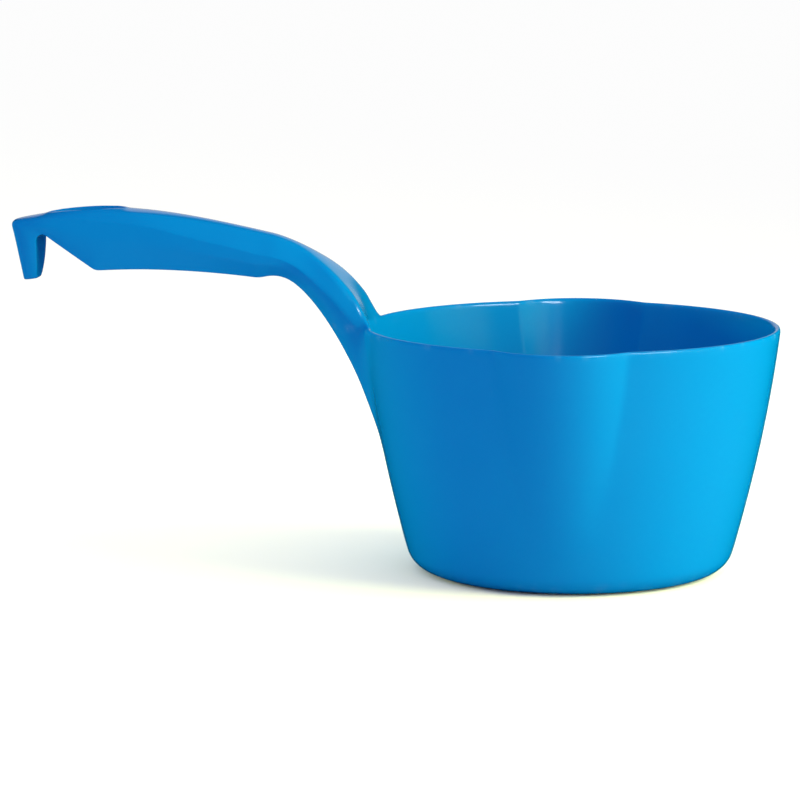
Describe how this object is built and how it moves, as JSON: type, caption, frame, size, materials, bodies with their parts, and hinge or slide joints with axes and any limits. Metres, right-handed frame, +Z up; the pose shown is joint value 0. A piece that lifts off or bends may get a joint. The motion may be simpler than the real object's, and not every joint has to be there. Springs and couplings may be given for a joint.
{
  "type": "feed scoop",
  "caption": "Round tapering plastic bowl scoop with a pouring lip on each side and a raised, arched handle that ends in a hanging hook.",
  "frame": {"origin": "centre of the bowl's flat base, on the surface that the scoop stands on", "axes": "+Z up along the bowl's axis; the handle runs toward -X; the two pouring lips point toward +Y and -Y"},
  "size_m": [0.3329, 0.1986, 0.1545],
  "materials": {
    "blue_plastic": "semi-gloss moulded polypropylene, mid blue, coloured through"
  },
  "bodies": {
    "root": {"bowl": "blue_plastic", "neck": "blue_plastic", "grip": "blue_plastic", "hook": "blue_plastic"}
  },
  "joints": []
}
